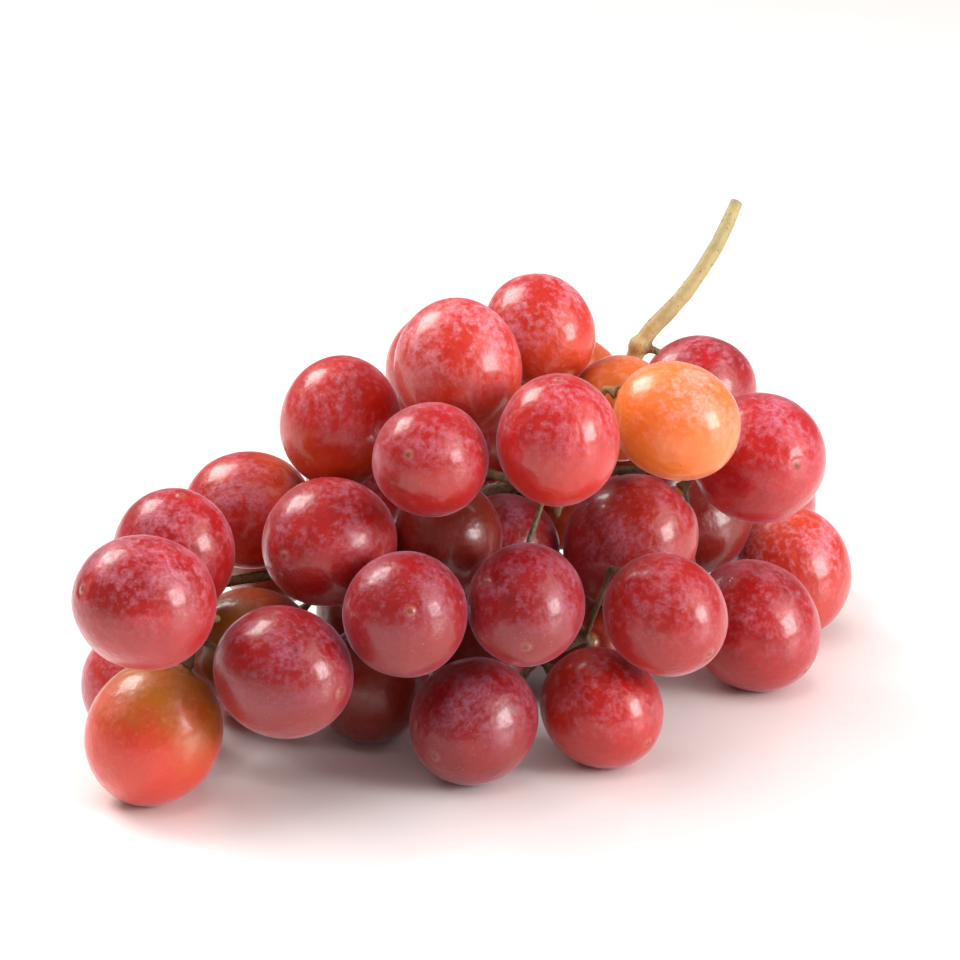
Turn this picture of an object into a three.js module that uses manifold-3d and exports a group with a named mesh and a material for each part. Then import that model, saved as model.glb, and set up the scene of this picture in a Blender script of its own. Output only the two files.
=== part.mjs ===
// A bunch of red table grapes, lying on a flat surface as it was cut: one branching stem and its berries.
// Units are millimetres. +Z is up, +X runs from the tip of the bunch towards its shoulder and +Y towards
// its back. Z = 0 is the surface that the lowest berries rest on, and the origin is the centre of the
// bunch's footprint.

import * as THREE from "three";
import { mergeVertices } from "three/addons/utils/BufferGeometryUtils.js";
import Module from "manifold-3d";

// ---- Driving dimensions -------------------------------------------------------------------------

// How far the berries' places spread. The plan below is drawn for a stretch of 1 each way.
const STRETCH = { length: 1, depth: 1, height: 1 };

const BERRY_DIAMETER = 24; // across the middle of a berry of size 100
const BERRY_SLENDERNESS = 1.1; // length from stalk end to blossom end, over diameter
const BERRY_SIDES = 12; // flat sides round a berry
const BERRY_BANDS = 8; // bands from pole to pole

const CLEARANCE = 0.3; // least gap between any two pieces
const STEM_CLEARANCE = 2 * CLEARANCE; // least gap between a branch and a berry that it only passes
const REST_FLAT_DEPTH = 0.4; // how far a berry that bears on the surface is pressed flat

const CUT_END_DIAMETER = 2.8; // the stalk where it was cut from the vine
const STALK_DIAMETER = 3.6; // the stalk where it enters the bunch
const RACHIS_TIP_DIAMETER = 2.2; // the main axis where it ends among the tip berries
const LIMB_DIAMETER = 2.0; // a side branch
const PEDICEL_DIAMETER = 1.5; // the short stalk of one berry
const COLLAR_DIAMETER = 3.2; // the swollen end of a pedicel, against its berry
const COLLAR_LENGTH = 2.6;
const KNUCKLE_SWELL = 1.3; // a fork's knuckle over the diameter of its branch
const STUB_LENGTH = 4.5; // the dried tendril stub at the stalk's node
const STUB_DIAMETER = 1.8;

const RACHIS_SIDES = 10;
const LIMB_SIDES = 8;
const PEDICEL_SIDES = 6;
const STEM_STEP = 4; // length of stem between two rings of its surface
const STEPS_PER_SPAN = 3; // rings of the main axis for one span of its plan

// The shape of a collar, from its pedicel to its berry. Each entry is [distance from the berry over
// COLLAR_LENGTH, share of the swell from PEDICEL_DIAMETER to COLLAR_DIAMETER].
const COLLAR_SHAPE = [
  [1, 0],
  [0.5, 0.35],
  [0.2, 0.95],
  [0, 1],
];

// ---- The plan of the bunch ----------------------------------------------------------------------

// The main axis, from the cut end of the stalk, down through the crown and along the core to the tip.
const RACHIS = [
  [52, 26, 96],
  [48, 20, 89],
  [41, 14, 80],
  [32, 9, 71],
  [28, 8, 57],
  [23, 4, 46],
  [8, 5, 43],
  [-9, -4, 40],
  [-25, -18, 35],
  [-37, -20, 34],
  [-50, -21, 32],
];
const STALK_NODE = 3; // the point of RACHIS with the swollen node and the tendril stub
const STUB_DIRECTION = [4, -1, -1];

// Side branches. Each leaves the point of RACHIS with this number, or the fork of the branch with this
// name, and ends in a fork of its own. A berry is [x, y, z, size], with its size as a percentage of
// BERRY_DIAMETER. One that bears on the surface has RESTS for its z. A fifth entry is the way its stalk
// end faces. Where there is none, it faces the fork.
const RESTS = 0;
const LIMBS = [
  {
    name: "tip",
    leaves: 10,
    fork: [-60, -40, 30],
    berries: [
      [-62, -67, 46, 105, [8, 5, -4]],
      [-62, -53, RESTS, 108, [8, 3, 16]],
      [-58, -42, 45, 97],
      [-46, -33, 25, 98],
      [-37, -57, 28, 104],
      [-66, -26, RESTS, 101],
    ],
  },
  {
    name: "flank",
    leaves: 8,
    fork: [-30, -16, 44],
    berries: [
      [-28, -36, 46, 104, [6, 8, -1]],
      [-45, -14, 44, 97],
      [-27, -14, 63, 99],
    ],
  },
  {
    name: "heel",
    leaves: 8,
    fork: [-31, -10, 26],
    berries: [
      [-45, -11, RESTS, 98],
      [-22, 6, 16, 100],
      [-40, 10, 27, 97],
      [-27, 28, 28, 96],
    ],
  },
  {
    name: "belly",
    leaves: 8,
    fork: [-16, -35, 30],
    berries: [
      [-14, -55, 39, 99],
      [-21, -24, RESTS, 94],
    ],
  },
  {
    name: "back",
    leaves: 7,
    fork: [-9, 6, 52],
    berries: [
      [-7, 3, 68, 94],
      [-22, 7, 43, 100],
      [-4, 24, 46, 98],
    ],
  },
  {
    name: "underside",
    leaves: 6,
    fork: [8, 12, 32],
    berries: [
      [6, -7, 34, 90],
      [3, 21, 17, 98],
      [17, 27, 32, 97],
      [27, 24, RESTS, 95],
      [-4, 38, 26, 95],
      [1, -2, RESTS, 92],
    ],
  },
  {
    name: "front",
    leaves: 5,
    fork: [13, -26, 53],
    berries: [
      [15, -42, 69, 97, [0, 1, -9]],
      [9, -48, 38, 94, [0, 9, 3]],
    ],
  },
  {
    name: "crown",
    leaves: "front",
    fork: [-2, -26, 58],
    berries: [
      [-9, -44, 66, 91],
      [-4, -23, 77, 103],
      [-6, -24, 42, 92],
    ],
  },
  {
    name: "top",
    leaves: "front",
    fork: [22, -18, 65],
    berries: [
      [38, -25, 67, 95, [-8, 3, 3]],
      [28, -5, 63, 87],
      [12, -4, 78, 90],
    ],
  },
  {
    name: "neck",
    leaves: 4,
    fork: [30, 16, 50],
    berries: [
      [18, 18, 59, 93],
      [42, 25, 51, 93],
      [33, 44, 38, 96],
      [12, 46, 46, 94],
    ],
  },
  {
    name: "shoulder",
    leaves: 5,
    fork: [42, 8, 46],
    berries: [
      [53, 1, 51, 109, [-5, 9, -2]],
      [31, -8, 36, 107, [6, 2, 6]],
      [56, 4, RESTS, 107, [-8, 5, 6]],
    ],
  },
  {
    name: "wing",
    leaves: "neck",
    fork: [57, 42, 34],
    berries: [
      [63, 33, RESTS, 106],
      [61, 58, 20, 92],
      [47, 29, 26, 93],
    ],
  },
  {
    name: "side",
    leaves: "underside",
    fork: [21, -20, 20],
    berries: [
      [36, -38, 32, 96, [-7, 7, 4]],
      [23, -3, RESTS, 91],
    ],
  },
  {
    name: "foot",
    leaves: "side",
    fork: [12, -24, 17],
    berries: [
      [24, -35, RESTS, 96],
      [-1, -43, RESTS, 101],
    ],
  },
];

// ---- Settling the bunch -------------------------------------------------------------------------

const UP = new THREE.Vector3(0, 0, 1);

/** A place of the plan, stretched to the bunch's size. */
function placed([x, y, z]) {
  return new THREE.Vector3(x * STRETCH.length, y * STRETCH.depth, z * STRETCH.height);
}

/** The berries of one side branch, each with its centre, half sizes and the way its stalk end faces. */
function plannedBerries(limb) {
  return limb.berries.map(([x, y, z, size, faces], i) => {
    const radius = (BERRY_DIAMETER / 2) * (size / 100);
    const centre = placed([x, y, z]);
    if (z === RESTS) centre.z = radius;
    return {
      name: `grape_${limb.name}_${i + 1}`,
      rests: z === RESTS,
      centre,
      radius,
      halfLength: radius * BERRY_SLENDERNESS,
      axis: (faces ? new THREE.Vector3(...faces) : placed(limb.fork).sub(centre)).normalize(),
    };
  });
}

/** Points at even steps of about STEM_STEP from a to b, both of which are in the list themselves. */
function pointsBetween(a, b, leastSpans = 2) {
  const spans = Math.max(leastSpans, Math.round(a.distanceTo(b) / STEM_STEP));
  const inner = [];
  for (let i = 1; i < spans; i++) inner.push(new THREE.Vector3().lerpVectors(a, b, i / spans));
  return [a, ...inner, b];
}

/** The main axis as a branch. It doesn't give way to berries. */
function rachisBranch() {
  const line = new THREE.CatmullRomCurve3(RACHIS.map(placed), false, "centripetal");
  const points = line.getPoints((RACHIS.length - 1) * STEPS_PER_SPAN);
  const entry = STALK_NODE * STEPS_PER_SPAN;
  const last = points.length - 1;
  const radii = points.map((_, i) => {
    const outside = THREE.MathUtils.mapLinear(i, 0, entry, CUT_END_DIAMETER, STALK_DIAMETER);
    const inside = THREE.MathUtils.mapLinear(i, entry, last, STALK_DIAMETER, RACHIS_TIP_DIAMETER);
    return (i < entry ? outside : inside) / 2;
  });
  return { points, radii, sides: RACHIS_SIDES, gives: 0, free: [] };
}

/** A side branch from a point of its parent to its fork. */
function limbBranch(start, fork) {
  const points = pointsBetween(start, fork);
  const radii = points.map(() => LIMB_DIAMETER / 2);
  return { points, radii, sides: LIMB_SIDES, gives: 0.7, free: points.slice(1) };
}

/** The pedicel of one berry, from its fork. Its last points make the collar, which stays on the berry's axis. */
function pedicelBranch(berry, fork) {
  const collar = COLLAR_SHAPE.map(() => new THREE.Vector3());
  const branch = { berry, collar, sides: PEDICEL_SIDES, gives: 0.7 };
  seatCollar(branch);
  const run = pointsBetween(fork, collar[0]);
  branch.points = [...run, ...collar.slice(1)];
  branch.radii = branch.points.map((_, i) => {
    const swell = i < run.length ? 0 : COLLAR_SHAPE[i - run.length + 1][1];
    return THREE.MathUtils.lerp(PEDICEL_DIAMETER, COLLAR_DIAMETER, swell) / 2;
  });
  branch.free = run.slice(1, -1);
  return branch;
}

/** Puts the points of a pedicel's collar in line with its berry's axis, clear of the berry's stalk end. */
function seatCollar({ berry, collar }) {
  for (const [i, [distance]] of COLLAR_SHAPE.entries())
    collar[i].copy(berry.centre).addScaledVector(
      berry.axis,
      berry.halfLength + CLEARANCE + distance * COLLAR_LENGTH,
    );
}

/** The bunch as planned: berries, branches that share a point wherever they meet, and the places of knuckles. */
function planBunch() {
  const rachis = rachisBranch();
  const bunch = {
    berries: [],
    branches: [rachis],
    knuckles: [{ centre: rachis.points[STALK_NODE * STEPS_PER_SPAN], diameter: STALK_DIAMETER }],
    forks: new Map(),
  };
  for (const limb of LIMBS) {
    const start = bunch.forks.get(limb.leaves) ?? rachis.points[limb.leaves * STEPS_PER_SPAN];
    const fork = placed(limb.fork);
    bunch.forks.set(limb.name, fork);
    bunch.knuckles.push({ centre: fork, diameter: LIMB_DIAMETER });
    bunch.branches.push(limbBranch(start, fork));
    for (const berry of plannedBerries(limb)) {
      bunch.berries.push(berry);
      bunch.branches.push(pedicelBranch(berry, fork));
    }
  }
  return bunch;
}

/** How far a berry reaches from its centre towards a flat plane whose unit normal is given. */
function reach({ axis, radius, halfLength }, normal) {
  const along = axis.dot(normal);
  return Math.hypot(along * halfLength, Math.sqrt(Math.max(0, 1 - along * along)) * radius);
}

/** Moves two overlapping berries apart by equal amounts. */
function partBerries(a, b) {
  const away = new THREE.Vector3().subVectors(b.centre, a.centre);
  const distance = away.length();
  away.divideScalar(distance);
  const short = reach(a, away) + reach(b, away) + CLEARANCE - distance;
  if (short <= 0) return;
  a.centre.addScaledVector(away, -short / 2);
  b.centre.addScaledVector(away, short / 2);
}

/** Moves a berry and a point of a branch apart. The branch goes its share of the way, and the berry the rest. */
function partBranch(berry, branch, i) {
  const point = branch.points[i];
  const seated = branch.collar?.includes(point);
  if (seated && branch.berry === berry) return;
  const away = new THREE.Vector3().subVectors(point, berry.centre);
  const distance = away.length();
  away.divideScalar(distance);
  const short = reach(berry, away) + branch.radii[i] + STEM_CLEARANCE - distance;
  if (short <= 0) return;
  const mover = seated ? branch.berry.centre : branch.free.includes(point) ? point : null;
  const share = mover ? branch.gives : 0;
  mover?.addScaledVector(away, short * share);
  berry.centre.addScaledVector(away, -short * (1 - share));
}

/** Lets the bunch find its shape: berries and branches part, branches ease, low berries meet the surface. */
function settle({ berries, branches }) {
  const ROUNDS = 500;
  const EASE = 0.2;
  for (let round = 0; round < ROUNDS; round++) {
    const ease = EASE * Math.max(0, 1 - (1.5 * round) / ROUNDS);
    for (const [i, a] of berries.entries()) for (const b of berries.slice(i + 1)) partBerries(a, b);
    for (const branch of branches) {
      if (branch.berry) seatCollar(branch);
      for (const [i, point] of branch.points.entries()) {
        const inner = i > 0 && i < branch.points.length - 1;
        if (inner && branch.free.includes(point)) {
          const middle = branch.points[i - 1].clone().lerp(branch.points[i + 1], 0.5);
          point.lerp(middle, ease);
        }
        for (const berry of berries) partBranch(berry, branch, i);
      }
    }
    for (const berry of berries) {
      const resting = reach(berry, UP) - REST_FLAT_DEPTH;
      berry.rests ||= berry.centre.z < resting;
      if (berry.rests) berry.centre.z = resting;
    }
  }
  for (const branch of branches) if (branch.berry) seatCollar(branch);
}

// ---- Solids -------------------------------------------------------------------------------------

const wasm = await Module();
wasm.setup();

/** A closed geometry as a manifold-3d solid. */
function toSolid(geometry) {
  const bare = geometry.clone();
  bare.deleteAttribute("normal");
  bare.deleteAttribute("uv");
  const merged = mergeVertices(bare, 1e-3);
  return new wasm.Manifold(
    new wasm.Mesh({
      numProp: 3,
      vertProperties: merged.getAttribute("position").array,
      triVerts: new Uint32Array(merged.index.array),
    }),
  );
}

/** A manifold-3d solid as a geometry. */
function toGeometry(solid) {
  const { vertProperties, triVerts } = solid.getMesh();
  const geometry = new THREE.BufferGeometry();
  geometry.setAttribute("position", new THREE.BufferAttribute(new Float32Array(vertProperties), 3));
  geometry.setIndex(new THREE.BufferAttribute(new Uint32Array(triVerts), 1));
  geometry.computeVertexNormals();
  return geometry;
}

/** A berry's body about its own Y axis, with its stalk end at +Y. */
function berryBody({ radius, halfLength }) {
  const profile = [];
  for (let band = 0; band <= BERRY_BANDS; band++) {
    const angle = (Math.PI * band) / BERRY_BANDS;
    const pole = band === 0 || band === BERRY_BANDS;
    profile.push(new THREE.Vector2(pole ? 0 : radius * Math.sin(angle), -halfLength * Math.cos(angle)));
  }
  return new THREE.LatheGeometry(profile, BERRY_SIDES);
}

/** The berry as a mesh, with a flat underside if it bears on the surface. */
function berryMesh(berry, material) {
  const mesh = new THREE.Mesh(berryBody(berry), material);
  mesh.name = berry.name;
  mesh.position.copy(berry.centre);
  mesh.quaternion.setFromUnitVectors(new THREE.Vector3(0, 1, 0), berry.axis);
  mesh.updateMatrix();
  if (berry.rests) {
    const width = 4 * berry.halfLength;
    const below = new THREE.BoxGeometry(width, width, width);
    below.translate(berry.centre.x, berry.centre.y, -width / 2);
    below.applyMatrix4(mesh.matrix.clone().invert());
    mesh.geometry = toGeometry(toSolid(mesh.geometry).subtract(toSolid(below)));
  }
  return mesh;
}

/** A closed round bar: a lathed bar with a ring for each point of a branch, bent to put each ring in place. */
function branchSolid({ points, radii, sides }) {
  const profile = [new THREE.Vector2(0, 0)];
  for (const [i, radius] of radii.entries()) profile.push(new THREE.Vector2(radius, i));
  profile.push(new THREE.Vector2(0, radii.length - 1));
  const bar = new THREE.LatheGeometry(profile, sides);
  const turns = ringTurns(points);
  const position = bar.getAttribute("position");
  for (let v = 0; v < position.count; v++) {
    const ring = Math.round(position.getY(v));
    const onRing = new THREE.Vector3(position.getX(v), 0, position.getZ(v));
    onRing.applyQuaternion(turns[ring]).add(points[ring]);
    position.setXYZ(v, ...onRing);
  }
  return toSolid(bar);
}

/** The turn of each ring of a bar through the given points. Each follows from the last without twisting. */
function ringTurns(points) {
  const heading = points.map((_, i) => {
    const behind = points[Math.max(0, i - 1)];
    const ahead = points[Math.min(points.length - 1, i + 1)];
    return new THREE.Vector3().subVectors(ahead, behind).normalize();
  });
  const turns = [new THREE.Quaternion().setFromUnitVectors(new THREE.Vector3(0, 1, 0), heading[0])];
  for (let i = 1; i < points.length; i++) {
    const bend = new THREE.Quaternion().setFromUnitVectors(heading[i - 1], heading[i]);
    turns.push(bend.multiply(turns[i - 1]));
  }
  return turns;
}

/** The round knuckle of a fork. */
function knuckleSolid({ centre, diameter }) {
  const ball = new THREE.SphereGeometry((diameter / 2) * KNUCKLE_SWELL, LIMB_SIDES, 5);
  return toSolid(ball.translate(...centre));
}

/** The dried stub of a tendril at the stalk's node. */
function stubSolid({ centre }) {
  const end = new THREE.Vector3(...STUB_DIRECTION).setLength(STUB_LENGTH).add(centre);
  const points = pointsBetween(centre.clone(), end);
  return branchSolid({ points, radii: points.map(() => STUB_DIAMETER / 2), sides: PEDICEL_SIDES });
}

/** The whole stem as one solid. */
function stemSolid({ branches, knuckles }) {
  const pieces = [...branches.map(branchSolid), ...knuckles.map(knuckleSolid), stubSolid(knuckles[0])];
  return pieces.reduce((whole, piece) => whole.add(piece));
}

// ---- Assembly -----------------------------------------------------------------------------------

const skin = new THREE.MeshStandardMaterial({ color: 0xa8252f, roughness: 0.35, metalness: 0 });
const wood = new THREE.MeshStandardMaterial({ color: 0xb9a766, roughness: 0.7, metalness: 0 });

const plan = planBunch();
settle(plan);

const bunch = new THREE.Group();
for (const berry of plan.berries) bunch.add(berryMesh(berry, skin));
const stem = new THREE.Mesh(toGeometry(stemSolid(plan)), wood);
stem.name = "stem";
bunch.add(stem);

// The origin goes to the middle of the footprint, at the surface.
const middle = new THREE.Box3().setFromObject(bunch, true).getCenter(new THREE.Vector3());
bunch.position.set(-middle.x, -middle.y, 0);

export default bunch;
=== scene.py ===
"""A bunch of red table grapes, lying on its side on a pale table.

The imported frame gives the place, the size and the direction of every grape, and the run of the stem. Each
grape is grown again as a smooth berry with its dimple, its blossom scar and its own mottled, bloomed skin.
The stem is the frame's own stem with its facets melted away, its corky nodes and its lenticels. All lengths
are in metres.
"""

import logging
import math
import random
from dataclasses import dataclass
from enum import Enum

import bmesh
import bpy
from mathutils import Euler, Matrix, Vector
from mathutils.kdtree import KDTree


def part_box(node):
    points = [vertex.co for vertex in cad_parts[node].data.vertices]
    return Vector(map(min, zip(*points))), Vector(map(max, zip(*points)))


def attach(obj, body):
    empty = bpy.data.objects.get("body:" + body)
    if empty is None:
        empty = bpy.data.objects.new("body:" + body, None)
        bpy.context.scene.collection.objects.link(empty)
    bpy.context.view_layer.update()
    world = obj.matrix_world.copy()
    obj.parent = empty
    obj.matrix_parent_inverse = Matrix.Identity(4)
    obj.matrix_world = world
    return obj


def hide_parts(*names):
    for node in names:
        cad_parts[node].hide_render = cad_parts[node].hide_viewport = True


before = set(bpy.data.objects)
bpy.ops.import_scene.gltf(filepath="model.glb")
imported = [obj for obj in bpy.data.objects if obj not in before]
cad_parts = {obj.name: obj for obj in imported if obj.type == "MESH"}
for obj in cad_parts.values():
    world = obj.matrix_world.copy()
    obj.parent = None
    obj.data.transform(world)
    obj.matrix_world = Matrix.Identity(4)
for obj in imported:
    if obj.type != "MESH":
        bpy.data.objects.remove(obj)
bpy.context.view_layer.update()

MM = 0.001
LOOSE_GAP = 0.002 * MM
LOG = logging.getLogger("bunch")

Colour = tuple[float, float, float]


# ---- Node trees ------------------------------------------------------------------------------------


class Flow:
    """A number that flows through a node tree. Python's operators on it add Math nodes."""

    def __init__(self, tree: "Tree", socket: bpy.types.NodeSocket) -> None:
        """Wraps an output socket.

        Args:
            tree: The tree that the socket belongs to.
            socket: The output socket that carries the number.
        """
        self.tree = tree
        self.socket = socket

    def _math(self, operation: str, *values: "Flow | float") -> "Flow":
        """Adds one Math node and returns what it gives."""
        node = self.tree.node("ShaderNodeMath", {"operation": operation}, dict(enumerate(values)))
        return Flow(self.tree, node.outputs[0])

    def __add__(self, other: "Flow | float") -> "Flow":
        """self + other."""
        return self._math("ADD", self, other)

    def __radd__(self, other: "Flow | float") -> "Flow":
        """other + self."""
        return self._math("ADD", other, self)

    def __sub__(self, other: "Flow | float") -> "Flow":
        """self - other."""
        return self._math("SUBTRACT", self, other)

    def __rsub__(self, other: "Flow | float") -> "Flow":
        """other - self."""
        return self._math("SUBTRACT", other, self)

    def __mul__(self, other: "Flow | float") -> "Flow":
        """self * other."""
        return self._math("MULTIPLY", self, other)

    def __rmul__(self, other: "Flow | float") -> "Flow":
        """other * self."""
        return self._math("MULTIPLY", other, self)

    def __truediv__(self, other: "Flow | float") -> "Flow":
        """self / other."""
        return self._math("DIVIDE", self, other)

    def __neg__(self) -> "Flow":
        """-self."""
        return self._math("MULTIPLY", self, -1.0)

    def root(self) -> "Flow":
        """The square root of self."""
        return self._math("SQRT", self)

    def above(self, other: "Flow | float") -> "Flow":
        """The larger of self and other."""
        return self._math("MAXIMUM", self, other)

    def over(self, other: "Flow | float") -> "Flow":
        """1 where self is greater than other, else 0."""
        return self._math("GREATER_THAN", self, other)

    def held(self) -> "Flow":
        """self, held between 0 and 1."""
        return self._math("MINIMUM", self.above(0.0), 1.0)

    def bell(self, centre: float, width: float) -> "Flow":
        """A smooth hump that is 1 where self is at centre and fades over width."""
        away = (self - centre) / width
        return self._math("EXPONENT", -(away * away))

    def step(self, start: float, end: float) -> "Flow":
        """A smooth rise from 0, where self is at start, to 1, where it is at end.

        Args:
            start: The value of self at the foot of the rise.
            end: The value of self at its top. It may be less than start, for a fall.

        Returns:
            The share risen.
        """
        low, high = (start, end) if start < end else (end, start)
        node = self.tree.node(
            "ShaderNodeMapRange",
            {"interpolation_type": "SMOOTHSTEP"},
            {"Value": self, "From Min": low, "From Max": high},
        )
        risen = Flow(self.tree, node.outputs[0])
        return risen if start < end else 1 - risen


Wired = Flow | bpy.types.NodeSocket | float | str | bool | Colour | tuple[float, ...] | Vector


class Tree:
    """A node tree of either kind, with the few node patterns that the bunch needs."""

    def __init__(self, nodes: bpy.types.NodeTree) -> None:
        """Empties the tree and takes it over.

        Args:
            nodes: A new shader or geometry node tree.
        """
        self.nodes = nodes
        nodes.nodes.clear()

    def node(
        self,
        kind: str,
        settings: dict[str, object] | None = None,
        inputs: dict[str | int, Wired] | None = None,
    ) -> bpy.types.Node:
        """Adds a node.

        Args:
            kind: The node's type name.
            settings: Its own settings, which are set before its sockets, as they may change them.
            inputs: What each input socket gets, by its name or number: a value, or a socket to link.

        Returns:
            The node.
        """
        made = self.nodes.nodes.new(kind)
        for name, value in (settings or {}).items():
            setattr(made, name, value)
        for name, value in (inputs or {}).items():
            socket = made.inputs[name]
            if isinstance(value, Flow):
                value = value.socket
            if isinstance(value, bpy.types.NodeSocket):
                self.nodes.links.new(value, socket)
            elif socket.type == "RGBA":
                socket.default_value = (*value, 1.0)
            else:
                socket.default_value = value
        return made

    def parts(self, vector: bpy.types.NodeSocket) -> tuple[Flow, Flow, Flow]:
        """The x, y and z of a vector."""
        split = self.node("ShaderNodeSeparateXYZ", {}, {0: vector})
        return Flow(self, split.outputs[0]), Flow(self, split.outputs[1]), Flow(self, split.outputs[2])

    def join(self, x: Wired, y: Wired, z: Wired) -> bpy.types.NodeSocket:
        """A vector of three numbers."""
        return self.node("ShaderNodeCombineXYZ", {}, {0: x, 1: y, 2: z}).outputs[0]

    def vector(self, operation: str, *values: Wired) -> bpy.types.NodeSocket:
        """What one Vector Math node gives."""
        settings = {"operation": operation}
        return self.node("ShaderNodeVectorMath", settings, dict(enumerate(values))).outputs[0]

    def scaled(self, vector: Wired, scale: Wired) -> bpy.types.NodeSocket:
        """A vector times a number."""
        settings = {"operation": "SCALE"}
        return self.node("ShaderNodeVectorMath", settings, {0: vector, "Scale": scale}).outputs[0]

    def noise(self, vector: Wired, scale: float, detail: float = 2.0, roughness: float = 0.5) -> Flow:
        """Cloudy noise, mostly between 0.3 and 0.7.

        Args:
            vector: Where it is read.
            scale: How many clouds there are in one unit of vector.
            detail: How many finer layers it has.
            roughness: How strong the finer layers are.

        Returns:
            The noise.
        """
        inputs = {"Vector": vector, "Scale": scale, "Detail": detail, "Roughness": roughness}
        return Flow(self, self.node("ShaderNodeTexNoise", {}, inputs).outputs[0])

    def spots(self, vector: Wired, scale: float, reach: float, share: float) -> Flow:
        """Small round spots, scattered at random.

        Args:
            vector: Where they are read.
            scale: How many places for a spot there are in one unit of vector.
            reach: The radius of a spot, as a share of the distance between places.
            share: How many of the places have a spot, from 0 to 1.

        Returns:
            1 on a spot, 0 off it.
        """
        cells = self.node("ShaderNodeTexVoronoi", {}, {"Vector": vector, "Scale": scale})
        near = Flow(self, cells.outputs["Distance"]).step(reach, reach * 0.45)
        luck = Flow(self, self.node("ShaderNodeSeparateColor", {}, {0: cells.outputs["Color"]}).outputs[0])
        return near * (1 - luck.over(share))

    def mix(self, share: Wired, a: Wired, b: Wired) -> bpy.types.NodeSocket:
        """The colour a, turning to the colour b as share goes from 0 to 1."""
        settings = {"data_type": "RGBA", "clamp_factor": True}
        return self.node("ShaderNodeMix", settings, {0: share, 6: a, 7: b}).outputs[2]


class FinishTree(Tree):
    """A new material's node tree, which ends in one Principled shader."""

    def __init__(self, slot: str) -> None:
        """Makes the material and takes its tree over.

        Args:
            slot: The material's name.
        """
        self.material = bpy.data.materials.new(slot)
        self.material.use_nodes = True
        super().__init__(self.material.node_tree)

    def stored(self, name: str) -> Flow:
        """A number that the mesh stores on each point."""
        return Flow(self, self.node("ShaderNodeAttribute", {"attribute_name": name}).outputs["Fac"])

    def stored_vector(self, name: str) -> bpy.types.NodeSocket:
        """A vector that the mesh stores on each point."""
        return self.node("ShaderNodeAttribute", {"attribute_name": name}).outputs["Vector"]

    def dented(self, height: Flow, depth: float) -> bpy.types.NodeSocket:
        """Normals that dip and rise with a height, depth metres for 1."""
        inputs = {"Strength": 0.7, "Distance": depth, "Height": height}
        return self.node("ShaderNodeBump", {}, inputs).outputs[0]

    def end(
        self, inputs: dict[str | int, Wired], settings: dict[str, object] | None = None
    ) -> bpy.types.Material:
        """Ends the tree in a Principled shader.

        Args:
            inputs: What the shader's sockets get.
            settings: The shader's own settings.

        Returns:
            The finished material.
        """
        shader = self.node("ShaderNodeBsdfPrincipled", settings, inputs)
        self.node("ShaderNodeOutputMaterial", {}, {"Surface": shader.outputs[0]})
        return self.material


class GrowthTree(Tree):
    """A Geometry Nodes tree with named inputs, which grows a mesh."""

    def __init__(self, name: str, inputs: dict[str, str]) -> None:
        """Makes the tree and its inputs.

        Args:
            name: The tree's name.
            inputs: Each input's name and its socket type.
        """
        super().__init__(bpy.data.node_groups.new(name, "GeometryNodeTree"))
        self.nodes.interface.new_socket("Geometry", in_out="OUTPUT", socket_type="NodeSocketGeometry")
        for each, kind in inputs.items():
            self.nodes.interface.new_socket(each, in_out="INPUT", socket_type=kind)
        self.given = self.node("NodeGroupInput")

    def number(self, name: str) -> Flow:
        """A named input that is a number."""
        return Flow(self, self.given.outputs[name])

    def keep(
        self, mesh: bpy.types.NodeSocket, name: str, kind: str, value: Wired
    ) -> bpy.types.NodeSocket:
        """Stores a value on each point of a mesh.

        Args:
            mesh: The mesh.
            name: The attribute's name.
            kind: FLOAT or FLOAT_VECTOR.
            value: What is stored.

        Returns:
            The mesh with the attribute.
        """
        settings = {"data_type": kind, "domain": "POINT"}
        inputs = {"Geometry": mesh, "Name": name, "Value": value}
        return self.node("GeometryNodeStoreNamedAttribute", settings, inputs).outputs[0]

    def end(self, mesh: bpy.types.NodeSocket) -> None:
        """Ends the tree: instances made real, shaded smooth and given the Material input."""
        real = self.node("GeometryNodeRealizeInstances", {}, {0: mesh}).outputs[0]
        smooth = self.node("GeometryNodeSetShadeSmooth", {}, {0: real}).outputs[0]
        coat = {0: smooth, "Material": self.given.outputs["Material"]}
        dressed = self.node("GeometryNodeSetMaterial", {}, coat).outputs[0]
        self.node("NodeGroupOutput", {}, {0: dressed})

    def grow(
        self, name: str, values: dict[str, object], start: bpy.types.Mesh | None = None
    ) -> bpy.types.Object:
        """Runs the tree once.

        Args:
            name: The name of the new object.
            values: What each named input is set to.
            start: The mesh that the tree works on, where it has a Geometry input.

        Returns:
            An object at the origin that holds the result as a plain mesh.
        """
        carrier = bpy.data.objects.new(name + "_seed", start or bpy.data.meshes.new(name + "_seed"))
        bpy.context.scene.collection.objects.link(carrier)
        modifier = carrier.modifiers.new("growth", "NODES")
        modifier.node_group = self.nodes
        for item in self.nodes.interface.items_tree:
            if item.in_out == "INPUT" and item.name in values:
                modifier[item.identifier] = values[item.name]
        grown = evaluated(carrier, name)
        bpy.data.objects.remove(carrier)
        return grown


def evaluated(source: bpy.types.Object, name: str) -> bpy.types.Object:
    """A new object with the plain mesh that source's modifiers give.

    Args:
        source: An object with modifiers, at the origin.
        name: The name of the new object and its mesh.

    Returns:
        The new object, in the scene.
    """
    bpy.context.view_layer.update()
    graph = bpy.context.evaluated_depsgraph_get()
    mesh = bpy.data.meshes.new_from_object(source.evaluated_get(graph), depsgraph=graph)
    mesh.name = name
    made = bpy.data.objects.new(name, mesh)
    bpy.context.scene.collection.objects.link(made)
    return made


# ---- Finishes --------------------------------------------------------------------------------------


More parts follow.
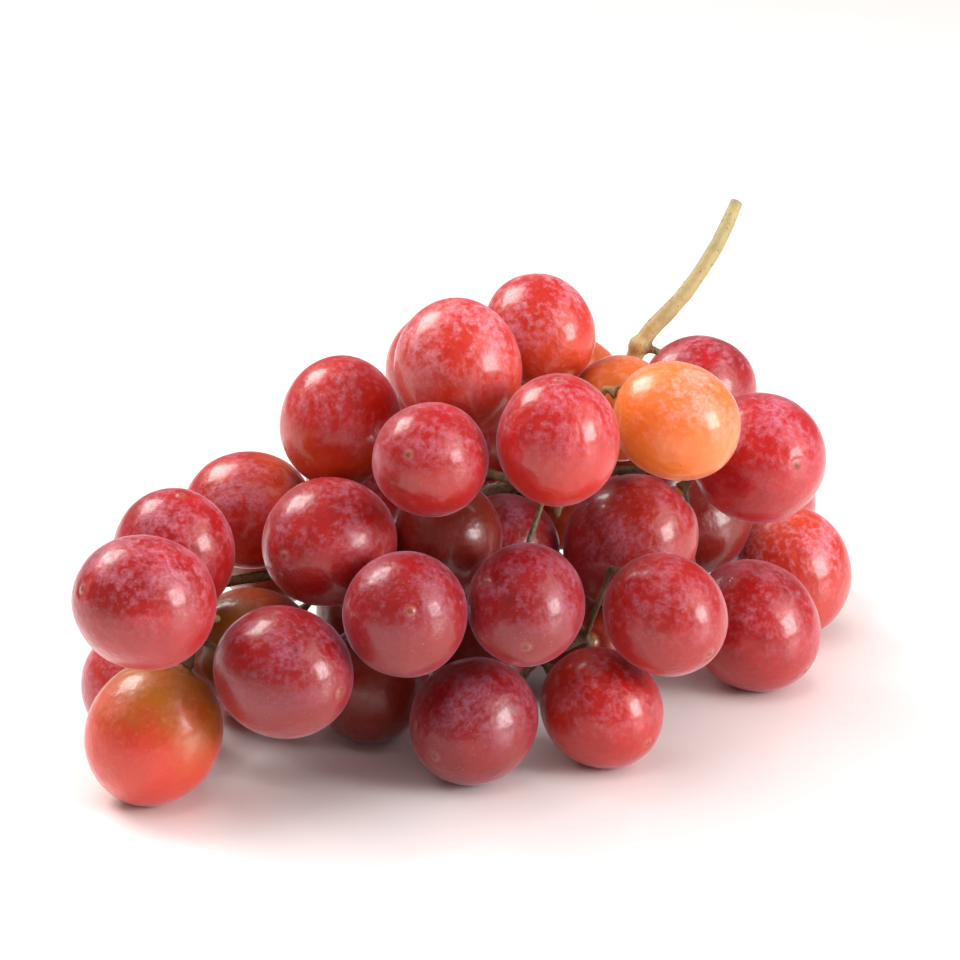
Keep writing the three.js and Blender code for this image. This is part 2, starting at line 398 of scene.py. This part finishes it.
@dataclass(frozen=True)
class SkinFinish:
    """A grape's skin at one ripeness: translucent, mottled, and dull where waxy bloom lies on it. The bloom
    is laid thicker on up-facing skin, a painted pale sheen on the lit top, and the down-facing skin gets a
    painted warm glow.

    The scales count clouds or spots in one radius of a middling berry.
    """

    slot: str
    flesh: Colour
    deep: Colour
    pale: Colour
    paleness: float
    bloom_and_sheen: Colour
    bloom_amount: float
    dots: float = 0.25

    SCATTER = 5 * MM
    SCATTER_TINT = (1.0, 0.16, 0.1)
    GLOSS = 0.41
    SHEEN = (0.86, 0.62, 0.86)
    DENT_DEPTH = 0.8 * MM
    CLOUD_SCALE = 1.3
    MOTTLE_SCALE = 5.0
    VEIN_STRETCH = (7.0, 7.0, 1.2)
    WAX_SCALE = 1.5
    RUB_SCALE = 9.0
    DUST_SCALE = 20.0
    DOT_SCALE = 11.0
    FRECKLE_SCALE = 5.0
    DOT = (0.62, 0.24, 0.16)
    FRECKLE = (0.13, 0.035, 0.02)
    SCAR_HALO = (0.5, 0.2, 0.13)
    SCAR = (0.13, 0.05, 0.03)
    STALK_RING = (0.42, 0.2, 0.06)

    def ripened(
        self, tree: FinishTree, place: bpy.types.NodeSocket, clouds: Flow, mottle: Flow, upward: Flow
    ) -> bpy.types.NodeSocket:
        """The colour of the flesh through the skin: deeper by patches, paler at the stalk, and mixed
        towards a painted warm glow on the down-facing skin.

        Args:
            tree: The skin's tree.
            place: The point on the unit berry.
            clouds: The broad patches.
            mottle: The fine patches.
            upward: How far the skin faces up, which sets where the painted glow goes.

        Returns:
            The colour.
        """
        ripe = tree.stored("ripeness")
        veins = tree.noise(tree.vector("MULTIPLY", place, self.VEIN_STRETCH), 1.0, 3.0, 0.6)
        shade = (clouds * 2.2 + mottle * 1.3 + veins * 0.7 + ripe * 0.8 - 2.2).held()
        colour = tree.mix(shade, self.flesh, self.deep)
        z = tree.parts(place)[2]
        paler = (z + (clouds - 0.5) * 1.8 - ripe * 0.3).step(-0.35, 0.95) * self.paleness
        colour = tree.mix(paler, colour, self.pale)
        # painted glow: a warmer copy of the flesh colour, mixed in on down-facing skin as if light shone
        # through the berry
        red, olive_and_shade, blue = self.flesh
        painted_glow = (1.05 * red, 1.5 * olive_and_shade + 0.006, 0.5 * blue)
        return tree.mix((0.3 - upward * 0.6 + (clouds - 0.5)).held() * 0.6, colour, painted_glow)

    def bloom_with_painted_sheen(self, tree: FinishTree, grain: bpy.types.NodeSocket, upward: Flow) -> Flow:
        """How thick the bloom lies: in broad patches and rubbed thin, as real wax does, and thickest on
        up-facing skin, which paints a paler sheen on the lit top.

        Args:
            tree: The skin's tree.
            grain: The point that the patterns are read at.
            upward: How far the skin faces up, which sets the painted sheen.

        Returns:
            The share of the skin that it hides.
        """
        wax = tree.noise(grain, self.WAX_SCALE, 5.0, 0.62)
        rubbed = tree.noise(grain, self.RUB_SCALE, 3.0, 0.6)
        cover = ((wax - 0.5) * 3.6 + (rubbed - 0.5) * 3.0 + 0.22).held()
        dusting = tree.noise(grain, self.DUST_SCALE, 2.0, 0.5)
        # painted sheen: the cover grows on up-facing skin, so the lit top reads paler
        return cover * (dusting * 2.8 - 0.5).held() * (0.45 + upward * 1.1).held()

    def make(self) -> bpy.types.Material:
        """Builds the material.

        Returns:
            The material, which reads the berry's own attributes.
        """
        tree = FinishTree(self.slot)
        place = tree.stored_vector("place")
        grain = tree.stored_vector("grain")
        x, y, z = tree.parts(place)
        off_axis = (x * x + y * y).root()
        clouds = tree.noise(grain, self.CLOUD_SCALE, 3.0, 0.55)
        mottle = tree.noise(grain, self.MOTTLE_SCALE, 4.0, 0.65)
        upward = tree.parts(tree.node("ShaderNodeNewGeometry").outputs["Normal"])[2]

        colour = self.ripened(tree, place, clouds, mottle, upward)
        # the bloom mask: real wax patches, laid thicker on top as a painted pale sheen
        bloom_and_sheen = self.bloom_with_painted_sheen(tree, grain, upward)
        colour = tree.mix(bloom_and_sheen * self.bloom_amount, colour, self.bloom_and_sheen)
        dots = tree.spots(grain, self.DOT_SCALE, 0.16, 0.55) * self.dots
        colour = tree.mix(dots, colour, self.DOT)
        freckles = tree.spots(grain, self.FRECKLE_SCALE, 0.1, 0.16) * 0.55
        colour = tree.mix(freckles, colour, self.FRECKLE)

        blossom_end = z.step(-0.2, -0.6)
        halo = off_axis.step(0.15, 0.05) * blossom_end
        colour = tree.mix(halo * 0.3, colour, self.SCAR_HALO)
        scar = (off_axis + (mottle - 0.5) * 0.05).step(0.06, 0.03) * blossom_end
        colour = tree.mix(scar * 0.75, colour, self.SCAR)
        stalk_end = z.step(0.2, 0.6)
        ring = off_axis.step(0.24, 0.09) * stalk_end
        colour = tree.mix(ring * 0.55, colour, self.STALK_RING)

        dents = tree.noise(grain, 3.0, 2.0, 0.5) * 1.0 + tree.noise(grain, 16.0, 2.0, 0.5) * 0.16
        gloss = (self.GLOSS + bloom_and_sheen * 0.2 + (mottle - 0.5) * 0.12 + scar * 0.4).held()
        inputs = {
            "Base Color": colour,
            "Roughness": gloss,
            "IOR": 1.42,
            "Subsurface Weight": 0.4,
            "Subsurface Radius": self.SCATTER_TINT,
            "Subsurface Scale": self.SCATTER,
            "Specular IOR Level": 0.62,
            "Coat Weight": (0.6 - bloom_and_sheen * 0.5).held(),
            "Coat Roughness": 0.16,
            "Sheen Weight": 0.3,
            "Sheen Roughness": 0.3,
            "Sheen Tint": self.SHEEN,
            "Normal": tree.dented(dents + dots * 0.05, self.DENT_DEPTH),
        }
        return tree.end(inputs, {"subsurface_method": "RANDOM_WALK"})


class Skin(Enum):
    """The ripeness of a grape's skin, from olive and amber through red to wine. The dark brown one is
    partly a real tone and partly painted shade for berries deep in the bunch.
    """

    AMBER = SkinFinish(
        "amber_skin",
        flesh=(0.78, 0.16, 0.025),
        deep=(0.7, 0.1, 0.016),
        pale=(0.82, 0.25, 0.02),
        paleness=0.6,
        bloom_and_sheen=(0.9, 0.34, 0.27),
        bloom_amount=0.8,
        dots=0.4,
    )
    TAWNY = SkinFinish(
        "tawny_skin",
        flesh=(0.6, 0.1, 0.014),
        deep=(0.5, 0.055, 0.01),
        pale=(0.62, 0.17, 0.014),
        paleness=0.6,
        bloom_and_sheen=(0.68, 0.26, 0.18),
        bloom_amount=0.5,
        dots=0.4,
    )
    ROSY = SkinFinish(
        "rosy_skin",
        flesh=(0.56, 0.028, 0.012),
        deep=(0.43, 0.008, 0.005),
        pale=(0.64, 0.075, 0.01),
        paleness=0.6,
        bloom_and_sheen=(0.64, 0.26, 0.32),
        bloom_amount=0.75,
    )
    OLIVE = SkinFinish(
        "olive_skin",
        flesh=(0.27, 0.02, 0.001),
        deep=(0.22, 0.009, 0.001),
        pale=(0.26, 0.09, 0.004),
        paleness=0.9,
        bloom_and_sheen=(0.4, 0.13, 0.06),
        bloom_amount=0.1,
    )
    RUSSET = SkinFinish(
        "russet_skin",
        flesh=(0.62, 0.026, 0.006),
        deep=(0.54, 0.012, 0.004),
        pale=(0.4, 0.16, 0.007),
        paleness=0.85,
        bloom_and_sheen=(0.72, 0.2, 0.15),
        bloom_amount=0.4,
    )
    SUNSET = SkinFinish(
        "sunset_skin",
        flesh=(0.48, 0.008, 0.003),
        deep=(0.32, 0.002, 0.001),
        pale=(0.72, 0.11, 0.007),
        paleness=0.75,
        bloom_and_sheen=(0.55, 0.2, 0.26),
        bloom_amount=0.6,
    )
    SCARLET = SkinFinish(
        "scarlet_skin",
        flesh=(0.48, 0.006, 0.003),
        deep=(0.3, 0.001, 0.001),
        pale=(0.66, 0.05, 0.01),
        paleness=0.4,
        bloom_and_sheen=(0.54, 0.19, 0.25),
        bloom_amount=0.65,
    )
    CRIMSON = SkinFinish(
        "crimson_skin",
        flesh=(0.44, 0.003, 0.005),
        deep=(0.26, 0.001, 0.002),
        pale=(0.6, 0.035, 0.012),
        paleness=0.3,
        bloom_and_sheen=(0.52, 0.18, 0.25),
        bloom_amount=0.65,
    )
    GARNET = SkinFinish(
        "garnet_skin",
        flesh=(0.37, 0.004, 0.003),
        deep=(0.22, 0.001, 0.001),
        pale=(0.5, 0.03, 0.006),
        paleness=0.4,
        bloom_and_sheen=(0.47, 0.16, 0.23),
        bloom_amount=0.6,
    )
    WINE = SkinFinish(
        "wine_skin",
        flesh=(0.27, 0.002, 0.004),
        deep=(0.14, 0.001, 0.001),
        pale=(0.34, 0.01, 0.008),
        paleness=0.3,
        bloom_and_sheen=(0.36, 0.12, 0.19),
        bloom_amount=0.6,
        dots=0.4,
    )
    # a dark brown skin: partly the grape's own tone, partly painted shade, darkened for berries that sit in
    # shade deep in the bunch
    BROWN = SkinFinish(
        "shaded_brown_skin",
        flesh=(0.22, 0.006, 0.002),
        deep=(0.14, 0.002, 0.001),
        pale=(0.3, 0.03, 0.003),
        paleness=0.4,
        bloom_and_sheen=(0.3, 0.07, 0.05),
        bloom_amount=0.15,
    )


@dataclass(frozen=True)
class StemFinish:
    """Straw-green wood with corky brown nodes, olive collars and a dried cut end. It turns dark olive in
    broad patches and, as painted shade, inside the bunch.
    """

    slot: str = "stem_wood"
    straw: Colour = (0.41, 0.335, 0.145)
    olive_and_shade: Colour = (0.075, 0.056, 0.026)
    tan: Colour = (0.44, 0.25, 0.09)
    cork: Colour = (0.12, 0.06, 0.025)
    fleck: Colour = (0.22, 0.12, 0.05)
    dried: Colour = (0.24, 0.2, 0.13)
    scatter: float = 1.0 * MM
    grain_depth: float = 0.2 * MM

    def make(self) -> bpy.types.Material:
        """Builds the material.

        Returns:
            The material, which reads the stem's own attributes.
        """
        tree = FinishTree(self.slot)
        here = tree.scaled(tree.node("ShaderNodeTexCoord").outputs["Object"], 1 / MM)
        corky = tree.stored("corky")
        inner_shade = tree.stored("inner_shade")
        foot = tree.stored("foot")

        broad = tree.noise(here, 0.12, 3.0, 0.6)
        fine = tree.noise(tree.vector("MULTIPLY", here, (1.0, 1.0, 0.35)), 1.6, 4.0, 0.65)
        # painted shade: mixed towards dark olive inside the bunch, where shade falls
        colour = tree.mix((broad * 1.6 - 0.75 + inner_shade * 1.0).held(), self.straw, self.olive_and_shade)
        colour = tree.mix((fine * 2.4 - 1.0 + foot * 0.9).held() * 0.6, colour, self.tan)
        colour = tree.mix((corky * 1.3 + (fine - 0.5) * 1.6 - 0.25).held(), colour, self.cork)
        flecks = tree.spots(here, 1.1, 0.2, 0.35)
        colour = tree.mix(flecks * 0.65, colour, self.fleck)
        colour = tree.mix(tree.stored("cut"), colour, self.dried)

        relief = fine * 1.0 + tree.noise(here, 5.0, 2.0, 0.5) * 0.4 + flecks * 0.4
        inputs = {
            "Base Color": colour,
            "Roughness": (0.48 + corky * 0.35 + (fine - 0.5) * 0.3).held(),
            "Subsurface Weight": 0.12,
            "Subsurface Radius": (1.0, 0.7, 0.3),
            "Subsurface Scale": self.scatter,
            "Normal": tree.dented(relief, self.grain_depth),
        }
        return tree.end(inputs)


@dataclass(frozen=True)
class TableFinish:
    """A smooth, plain, nearly white tabletop."""

    slot: str = "white_table"
    white: Colour = (0.92, 0.865, 0.855)
    dimmest: float = 0.985
    roughness: float = 0.27

    def make(self) -> bpy.types.Material:
        """Builds the material.

        Returns:
            The material.
        """
        tree = FinishTree(self.slot)
        here = tree.node("ShaderNodeTexCoord").outputs["Object"]
        cloud = tree.noise(here, 3.0, 2.0, 0.5)
        colour = tree.mix(cloud, self.white, tuple(self.dimmest * c for c in self.white))
        return tree.end({"Base Color": colour, "Roughness": self.roughness, "Specular IOR Level": 0.7})


# ---- Grapes ----------------------------------------------------------------------------------------


def merged(node: str) -> bmesh.types.BMesh:
    """A copy of a frame node's mesh with its loose triangles joined up.

    Args:
        node: The node's name.

    Returns:
        The copy, which the caller frees.
    """
    joined = bmesh.new()
    joined.from_mesh(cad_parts[node].data)
    bmesh.ops.remove_doubles(joined, verts=joined.verts, dist=LOOSE_GAP)
    return joined


@dataclass
class Grape:
    """One grape: its place, half sizes and axis, as its frame node holds them."""

    name: str
    skin: Skin
    centre: Vector
    axis: Vector
    radius: float
    half_length: float

    SIDES = 12
    BANDS = 8

    @classmethod
    def from_frame(cls, name: str, skin: Skin, stem_points: KDTree) -> "Grape":
        """Measures a grape on its frame node, a body lathed in even bands from pole to pole.

        Args:
            name: The node's name.
            skin: The ripeness of its skin.
            stem_points: The points of the stem, to tell the stalk end from the blossom end.

        Returns:
            The grape.
        """
        body = merged(name)
        poles = []
        for vertex in body.verts:
            around = [edge.other_vert(vertex) for edge in vertex.link_edges]
            if len(around) == cls.SIDES:
                middle = sum((each.co for each in around), Vector()) / cls.SIDES
                ring = sum((each.co - middle).length for each in around) / cls.SIDES
                poles.append((stem_points.find(vertex.co)[2], vertex.co.copy(), middle, ring))
        body.free()
        _, pole, middle, ring = min(poles, key=lambda each: each[0])
        band = math.pi / cls.BANDS
        axis = (pole - middle).normalized()
        half_length = (pole - middle).length / (1 - math.cos(band))
        return cls(name, skin, pole - axis * half_length, axis, ring / math.sin(band), half_length)

    def grow(self, tree: GrowthTree, material: bpy.types.Material, luck: random.Random) -> bpy.types.Object:
        """Grows the grape and stands it in for its frame node.

        Args:
            tree: The berry tree.
            material: The finish of its skin.
            luck: Where its seed and ripeness come from.

        Returns:
            The grape's object.
        """
        turn = Vector((0, 0, 1)).rotation_difference(self.axis).to_euler()
        values = {
            "Radius": self.radius,
            "Half Length": self.half_length,
            "Centre": self.centre,
            "Turn": turn,
            "Seed": Vector([luck.uniform(-40, 40) for _ in range(3)]),
            "Ripeness": luck.random(),
            "Material": material,
        }
        berry = tree.grow(self.name + "_berry", values)
        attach(berry, "root")
        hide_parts(self.name)
        return berry


@dataclass(frozen=True)
class BerryShape:
    """The rule that every grape's shape follows.

    Depths are in metres. Reaches and widths are shares of the berry's radius.
    """

    subdivisions: int = 6
    unevenness: float = 0.32 * MM
    shoulder: float = 0.012
    dimple: float = 0.5 * MM
    dimple_reach: float = 0.19
    dimple_width: float = 0.09
    nub: float = 0.45 * MM
    nub_reach: float = 0.12
    scar_groove: float = 0.16 * MM
    scar_button: float = 0.14 * MM
    scar_reach: float = 0.055
    groove_width: float = 0.035
    middling_radius: float = 12 * MM

    INPUTS = {
        "Radius": "NodeSocketFloat",
        "Half Length": "NodeSocketFloat",
        "Centre": "NodeSocketVector",
        "Turn": "NodeSocketRotation",
        "Seed": "NodeSocketVector",
        "Ripeness": "NodeSocketFloat",
        "Material": "NodeSocketMaterial",
    }

    def build(self) -> GrowthTree:
        """Builds the berry tree.

        Returns:
            A tree that grows a berry with its stalk end along the turned +Z, flat where it meets the table.
        """
        tree = GrowthTree("berry", self.INPUTS)
        ball = tree.node(
            "GeometryNodeMeshIcoSphere", {}, {"Radius": 1.0, "Subdivisions": self.subdivisions}
        ).outputs[0]
        place = tree.node("GeometryNodeInputPosition").outputs[0]
        x, y, z = tree.parts(place)
        off_axis = (x * x + y * y).root()
        stalk_end = z.over(0.0)
        blossom_end = 1 - stalk_end

        lumps = tree.noise(tree.vector("ADD", place, tree.given.outputs["Seed"]), 0.9, 2.0, 0.4) - 0.5
        dimple = off_axis.bell(self.dimple_reach, self.dimple_width) * stalk_end
        nub = off_axis.step(self.nub_reach, self.nub_reach * 0.5) * stalk_end
        groove = off_axis.bell(self.scar_reach * 1.9, self.groove_width) * blossom_end
        button = off_axis.step(self.scar_reach * 1.2, self.scar_reach * 0.5) * blossom_end
        rise = lumps * (2 * self.unevenness) - dimple * self.dimple + nub * self.nub
        rise = rise - groove * self.scar_groove + button * self.scar_button

        girth = tree.number("Radius") * (1 + z * self.shoulder)
        body = tree.join(x * girth, y * girth, z * tree.number("Half Length"))
        body = tree.vector("ADD", body, tree.scaled(place, rise))
        rotate = tree.node("FunctionNodeRotateVector", {}, {0: body, 1: tree.given.outputs["Turn"]})
        grown = tree.vector("ADD", rotate.outputs[0], tree.given.outputs["Centre"])
        grown_x, grown_y, grown_z = tree.parts(grown)
        rested = tree.join(grown_x, grown_y, grown_z.above(0.0))

        grain = tree.scaled(place, tree.number("Radius") / self.middling_radius)
        grain = tree.vector("ADD", grain, tree.given.outputs["Seed"])
        mesh = tree.keep(ball, "place", "FLOAT_VECTOR", place)
        mesh = tree.keep(mesh, "grain", "FLOAT_VECTOR", grain)
        mesh = tree.keep(mesh, "ripeness", "FLOAT", tree.number("Ripeness"))
        mesh = tree.node("GeometryNodeSetPosition", {}, {"Geometry": mesh, "Position": rested}).outputs[0]
        tree.end(mesh)
        return tree


@dataclass
class Grapes:
    """All the grapes of the bunch."""

    shape: BerryShape
    seed: int = 11
    common: Skin = Skin.CRIMSON

    SKINS = {
        Skin.AMBER: ("top_1",),
        Skin.TAWNY: ("top_2", "neck_1"),
        Skin.ROSY: ("wing_1", "back_1", "crown_2", "top_3"),
        Skin.OLIVE: ("tip_4", "heel_3", "neck_3"),
        Skin.RUSSET: ("tip_2",),
        Skin.SUNSET: ("flank_2", "flank_3", "underside_3"),
        Skin.SCARLET: ("front_1", "foot_1", "back_3"),
        Skin.GARNET: ("side_1", "shoulder_2", "flank_1", "crown_1"),
        Skin.WINE: ("tip_5", "front_2", "foot_2", "belly_1", "underside_1", "neck_4"),
        # these berries sit deep in the bunch; their dark brown skin is partly painted shade
        Skin.BROWN: ("belly_2", "crown_3", "side_2", "underside_2", "underside_6", "heel_2", "wing_3"),
    }

    def skin_of(self, node: str) -> Skin:
        """The ripeness of a grape, by the end of its node's name."""
        place = node.removeprefix("grape_")
        return next((skin for skin, places in self.SKINS.items() if place in places), self.common)

    def build(self, stem_points: KDTree) -> list[Grape]:
        """Grows every grape.

        Args:
            stem_points: The points of the stem.

        Returns:
            The grapes, in the order of their names.
        """
        tree = self.shape.build()
        materials = {skin: skin.value.make() for skin in Skin}
        luck = random.Random(self.seed)
        grapes = []
        for name in sorted(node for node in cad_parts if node.startswith("grape_")):
            grape = Grape.from_frame(name, self.skin_of(name), stem_points)
            berry = grape.grow(tree, materials[grape.skin], luck)
            LOG.info("%s: %s, %d faces", berry.name, grape.skin.name.lower(), len(berry.data.polygons))
            grapes.append(grape)
        return grapes


# ---- Stem ------------------------------------------------------------------------------------------


@dataclass
class Stem:
    """The stem: the frame's own stem, melted smooth, with corky nodes and lenticels."""

    voxel: float = 0.42 * MM
    melts: int = 5
    gnarl: float = 0.28 * MM
    gnarl_size: float = 3.5 * MM
    node_height: float = 0.735
    node_band: float = 2 * MM
    node_reach: float = 3.4 * MM
    cork_offset: tuple[float, float, float] = (2.0 * MM, -0.5 * MM, -0.6 * MM)
    collar_reach: float = 4.6 * MM
    cut_reach: float = 1.8 * MM
    foot_reach: float = 14 * MM
    inner_shade_fade: float = 10 * MM
    lenticel: float = 0.16 * MM
    lenticel_cork: float = 0.55
    lenticels_per_area: float = 0.16 / MM**2
    seed: int = 5

    def __post_init__(self) -> None:
        """Reads the stem's points from the frame, for whoever needs to know where it runs."""
        self.body = merged("stem")
        self.points = KDTree(len(self.body.verts))
        for vertex in self.body.verts:
            self.points.insert(vertex.co, vertex.index)
        self.points.balance()

    def melted(self) -> bpy.types.Object:
        """The frame's stem with its facets melted away.

        Returns:
            An object with a plain, even mesh.
        """
        mesh = bpy.data.meshes.new("stem_facets")
        self.body.to_mesh(mesh)
        carrier = bpy.data.objects.new("stem_facets", mesh)
        bpy.context.scene.collection.objects.link(carrier)
        remesh = carrier.modifiers.new("skin", "REMESH")
        remesh.mode = "VOXEL"
        remesh.voxel_size = self.voxel
        smooth = carrier.modifiers.new("melt", "SMOOTH")
        smooth.iterations = self.melts
        clouds = bpy.data.textures.new("gnarl", "CLOUDS")
        clouds.noise_scale = self.gnarl_size
        gnarl = carrier.modifiers.new("gnarl", "DISPLACE")
        gnarl.texture = clouds
        gnarl.texture_coords = "LOCAL"
        gnarl.strength = self.gnarl
        made = evaluated(carrier, "stem_melted")
        bpy.data.objects.remove(carrier)
        return made

    def mark(self, mesh: bpy.types.Mesh, grapes: list[Grape]) -> None:
        """Marks where the stem is corky, where it is painted darker as shade inside the bunch, where it is
        cut, and near the foot of its stalk.

        Args:
            mesh: The melted stem's mesh, which gets the attributes corky, cut and foot, and one for the
                painted shade inside the bunch.
            grapes: The grapes that its collars hold.
        """
        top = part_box("stem")[1][2]
        ends = KDTree(len(grapes))
        for index, grape in enumerate(grapes):
            ends.insert(grape.centre + grape.axis * grape.half_length, index)
        ends.balance()
        height = self.node_height * top
        ring = (v.co for v in self.body.verts if abs(v.co.z - height) < self.node_band)
        near_node = [place for place in ring if min(place.xy) > 0]
        node = sum(near_node, Vector()) / len(near_node)
        cork = node + Vector(self.cork_offset)
        names = ("corky", "inner_shade", "cut", "foot")
        kinds = {name: mesh.attributes.new(name, "FLOAT", "POINT") for name in names}
        for vertex in mesh.vertices:
            collar = max(0.0, 1 - ends.find(vertex.co)[2] / self.collar_reach)
            at_node = max(0.0, 1 - (vertex.co - cork).length / self.node_reach)
            # painted shade: the further below the node, the deeper inside the bunch and the darker
            below_node = (node.z - vertex.co.z) / self.inner_shade_fade
            marks = {
                "corky": min(1.0, 0.9 * collar + 1.3 * at_node),
                "inner_shade": min(1.0, max(0.0, below_node)),
                "cut": max(0.0, 1 - (top - vertex.co.z) / self.cut_reach),
                "foot": max(0.0, 1 - abs(vertex.co.z - node.z) / self.foot_reach),
            }
            for name, value in marks.items():
                kinds[name].data[vertex.index].value = value

    def lenticel_tree(self) -> GrowthTree:
        """Builds the tree that scatters lenticels over the stem.

        Returns:
            A tree that joins the stem and its lenticels.
        """
        inputs = {
            "Geometry": "NodeSocketGeometry",
            "Size": "NodeSocketFloat",
            "Density": "NodeSocketFloat",
            "Seed": "NodeSocketInt",
            "Material": "NodeSocketMaterial",
        }
        tree = GrowthTree("lenticels", inputs)
        given = tree.given.outputs
        scatter = tree.node(
            "GeometryNodeDistributePointsOnFaces",
            {"distribute_method": "RANDOM"},
            {"Mesh": given["Geometry"], "Density": given["Density"], "Seed": given["Seed"]},
        )
        wart = tree.node("GeometryNodeMeshIcoSphere", {}, {"Radius": 1.0, "Subdivisions": 2}).outputs[0]
        spread = tree.node(
            "FunctionNodeRandomValue", {"data_type": "FLOAT"}, {2: 0.5, 3: 1.25, "Seed": given["Seed"]}
        )
        size = tree.number("Size") * Flow(tree, spread.outputs[1])
        scale = tree.join(size * 0.8, size * 1.2, size * 0.5)
        warts = tree.node(
            "GeometryNodeInstanceOnPoints",
            {},
            {
                "Points": scatter.outputs[0],
                "Instance": wart,
                "Rotation": scatter.outputs["Rotation"],
                "Scale": scale,
            },
        ).outputs[0]
        real = tree.node("GeometryNodeRealizeInstances", {}, {0: warts}).outputs[0]
        warts = tree.keep(real, "corky", "FLOAT", self.lenticel_cork)
        both = tree.node("GeometryNodeJoinGeometry")
        for mesh in (warts, given["Geometry"]):
            tree.nodes.links.new(mesh, both.inputs[0])
        tree.end(both.outputs[0])
        return tree

    def build(self, finish: StemFinish, grapes: list[Grape]) -> bpy.types.Object:
        """Makes the stem and stands it in for its frame node.

        Args:
            finish: Its finish.
            grapes: The grapes that hang on it.

        Returns:
            The stem's object.
        """
        melted = self.melted()
        self.mark(melted.data, grapes)
        values = {
            "Size": self.lenticel,
            "Density": self.lenticels_per_area,
            "Seed": self.seed,
            "Material": finish.make(),
        }
        stem = self.lenticel_tree().grow("stem_wood", values, melted.data)
        bpy.data.objects.remove(melted)
        self.body.free()
        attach(stem, "root")
        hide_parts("stem")
        LOG.info("%s: %d faces", stem.name, len(stem.data.polygons))
        return stem


# ---- Studio ----------------------------------------------------------------------------------------


@dataclass(frozen=True)
class Softbox:
    """A square soft light that points at the bunch."""

    name: str
    towards: tuple[float, float, float]
    distance: float
    width: float
    watts: float
    colour: Colour = (1.0, 1.0, 1.0)
    mirrored: bool = True

    def build(self, target: Vector) -> None:
        """Hangs the light.

        Args:
            target: What it points at.
        """
        light = bpy.data.lights.new(self.name, "AREA")
        light.shape = "SQUARE"
        light.size = self.width
        light.energy = self.watts
        light.color = self.colour
        lamp = bpy.data.objects.new(self.name, light)
        away = Vector(self.towards).normalized()
        lamp.location = target + away * self.distance
        lamp.rotation_euler = away.to_track_quat("Z", "Y").to_euler()
        lamp.visible_glossy = self.mirrored
        bpy.context.scene.collection.objects.link(lamp)


@dataclass
class Studio:
    """The table, the lights and the camera."""

    table_size: float = 8.0
    elevation: float = 20.0
    distance: float = 0.9
    lens: float = 168.75
    sensor: float = 36.0
    aim: Vector = Vector((0.0006, 0.007, 0.0451))
    sky: float = 0.46
    sky_colour: Colour = (1.0, 0.96, 0.945)
    sky_lost_in_mirrors: float = 0.6

    LIT_POINT = Vector((0, 0, 0.04))
    LIGHTS = (
        Softbox("key_light", (-0.58, 0.42, 0.7), 0.9, 0.43, 6.6, colour=(1.0, 0.985, 0.96)),
        Softbox("window_light", (0.85, -0.42, 0.28), 1.2, 0.5, 11.0),
        Softbox("side_light", (0.8, -0.2, 0.6), 1.2, 0.9, 5.0),
        Softbox("ceiling_light", (-0.15, -0.1, 1.0), 1.1, 1.1, 9.5, mirrored=False),
    )

    def build_table(self) -> None:
        """Lays the table at the height that the grapes rest on."""
        half = self.table_size / 2
        mesh = bpy.data.meshes.new("table")
        corners = [(-half, -half, 0), (half, -half, 0), (half, half, 0), (-half, half, 0)]
        mesh.from_pydata(corners, [], [(0, 1, 2, 3)])
        table = bpy.data.objects.new("table", mesh)
        bpy.context.scene.collection.objects.link(table)
        mesh.materials.append(TableFinish().make())

    def build_lights(self) -> None:
        """Hangs the lights in an even pale room."""
        for light in self.LIGHTS:
            light.build(self.LIT_POINT)
        world = bpy.data.worlds.new("room")
        world.use_nodes = True
        tree = Tree(world.node_tree)
        mirrored = Flow(tree, tree.node("ShaderNodeLightPath").outputs["Is Glossy Ray"])
        strength = (1.0 - mirrored * self.sky_lost_in_mirrors) * self.sky
        room = tree.node("ShaderNodeBackground", {}, {"Color": self.sky_colour, "Strength": strength})
        tree.node("ShaderNodeOutputWorld", {}, {"Surface": room.outputs[0]})
        bpy.context.scene.world = world
        bpy.context.scene.view_settings.view_transform = "Standard"

    def build_camera(self) -> None:
        """Sets the camera in front of the bunch, looking down on it."""
        tilt = math.radians(self.elevation)
        camera = bpy.data.cameras.new("camera")
        camera.lens = self.lens
        camera.sensor_width = self.sensor
        camera.dof.use_dof = False
        view = bpy.data.objects.new("camera", camera)
        view.location = self.aim + Vector((0, -math.cos(tilt), math.sin(tilt))) * self.distance
        view.rotation_euler = Euler((math.pi / 2 - tilt, 0, 0))
        bpy.context.scene.collection.objects.link(view)
        bpy.context.scene.camera = view

    def build(self) -> None:
        """Builds the whole studio."""
        self.build_table()
        self.build_lights()
        self.build_camera()
        bpy.context.scene.cycles.use_denoising = True


# ---- The bunch -------------------------------------------------------------------------------------


def main() -> None:
    """Builds the grapes, the stem and the studio."""
    logging.basicConfig(level=logging.INFO, format="%(name)s: %(message)s")
    stem = Stem()
    grapes = Grapes(BerryShape()).build(stem.points)
    stem.build(StemFinish(), grapes)
    Studio().build()


if __name__ == "__main__":
    main()
